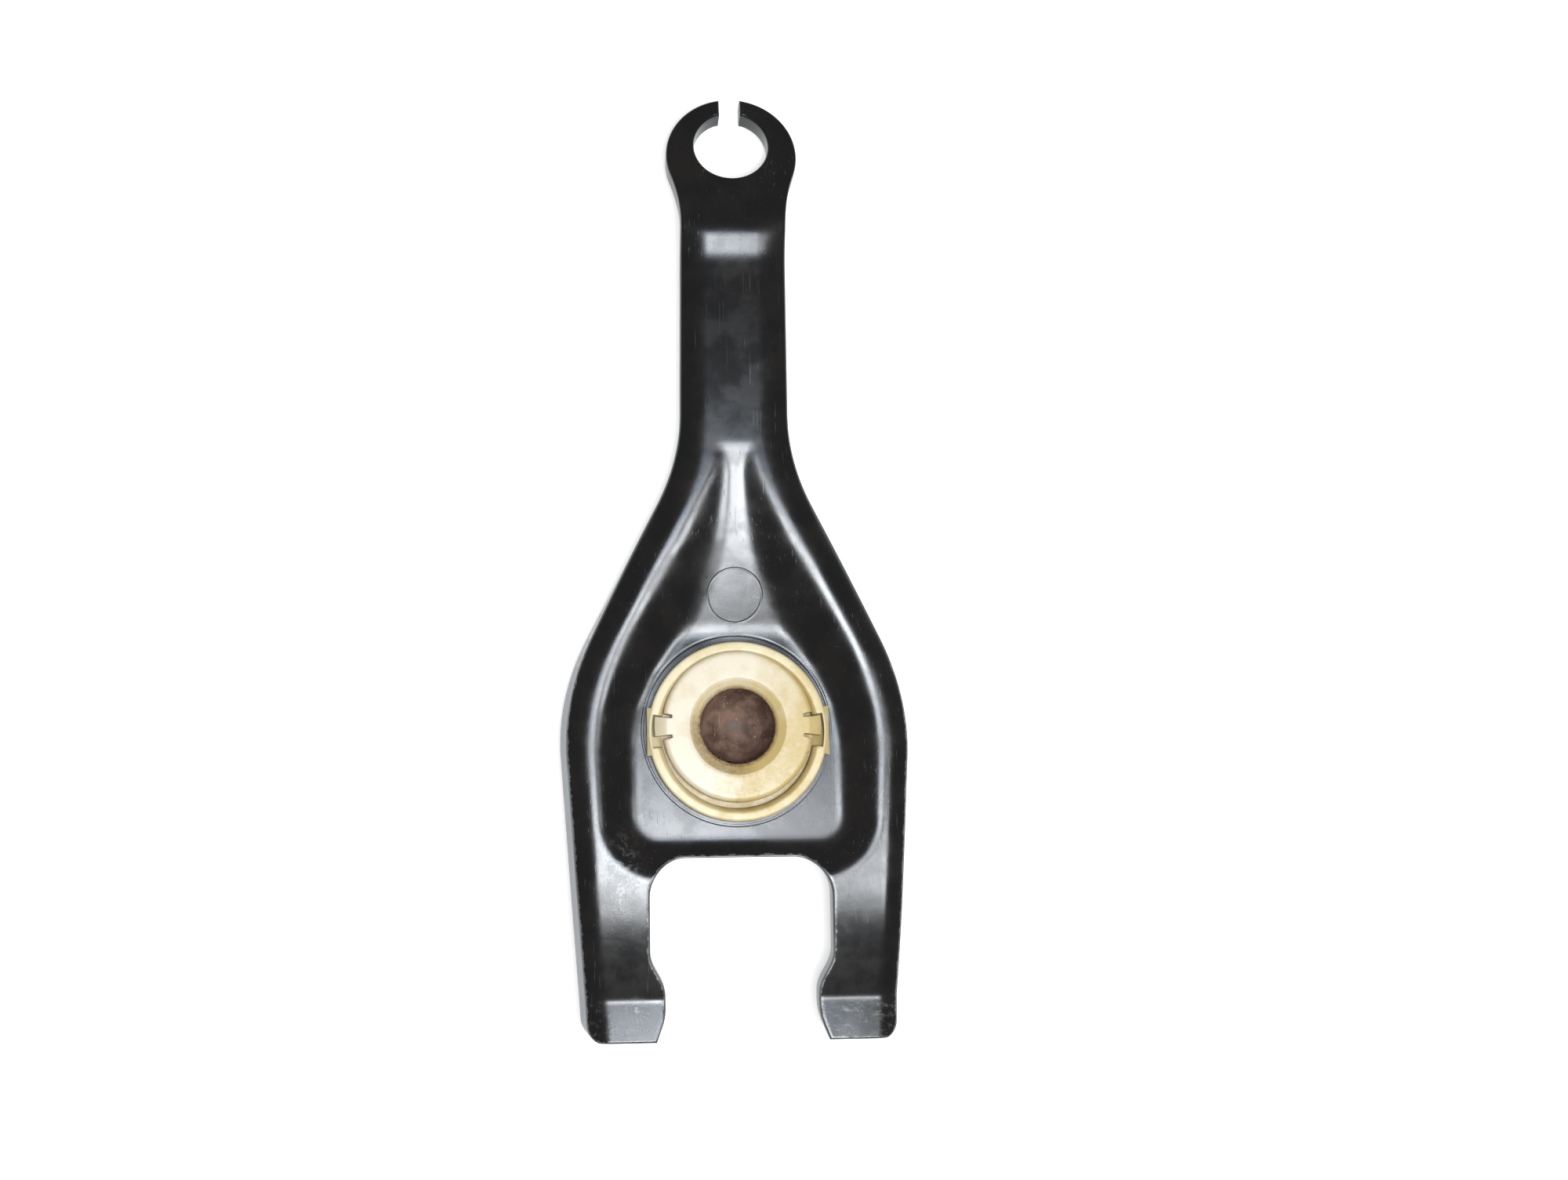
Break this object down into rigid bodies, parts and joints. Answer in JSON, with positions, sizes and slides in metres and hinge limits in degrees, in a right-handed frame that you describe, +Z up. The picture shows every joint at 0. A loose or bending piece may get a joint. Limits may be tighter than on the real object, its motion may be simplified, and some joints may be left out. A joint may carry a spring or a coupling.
{
  "type": "clutch fork",
  "caption": "Pressed steel clutch release fork: split cable eye, rounded arm, ribbed body with a plastic-lined ball cup and two prongs around a slot.",
  "frame": {"origin": "centre of the pivot ball, which is the centre of the guide's narrow bore", "axes": "+X across the fork, +Y from the prongs towards the cable eye, +Z up out of the side that carries the ball cup; the fork lies on its back"},
  "size_m": [0.0752, 0.2006, 0.0211],
  "materials": {
    "black_steel": "semi-gloss black coating, worn grey on edges and prong ends",
    "cream_plastic": "aged cream, satin",
    "pale_plastic": "aged pale cream, satin"
  },
  "bodies": {
    "root": {"fork": "black_steel", "ball_holder": "cream_plastic", "ball_guide": "pale_plastic"}
  },
  "joints": []
}
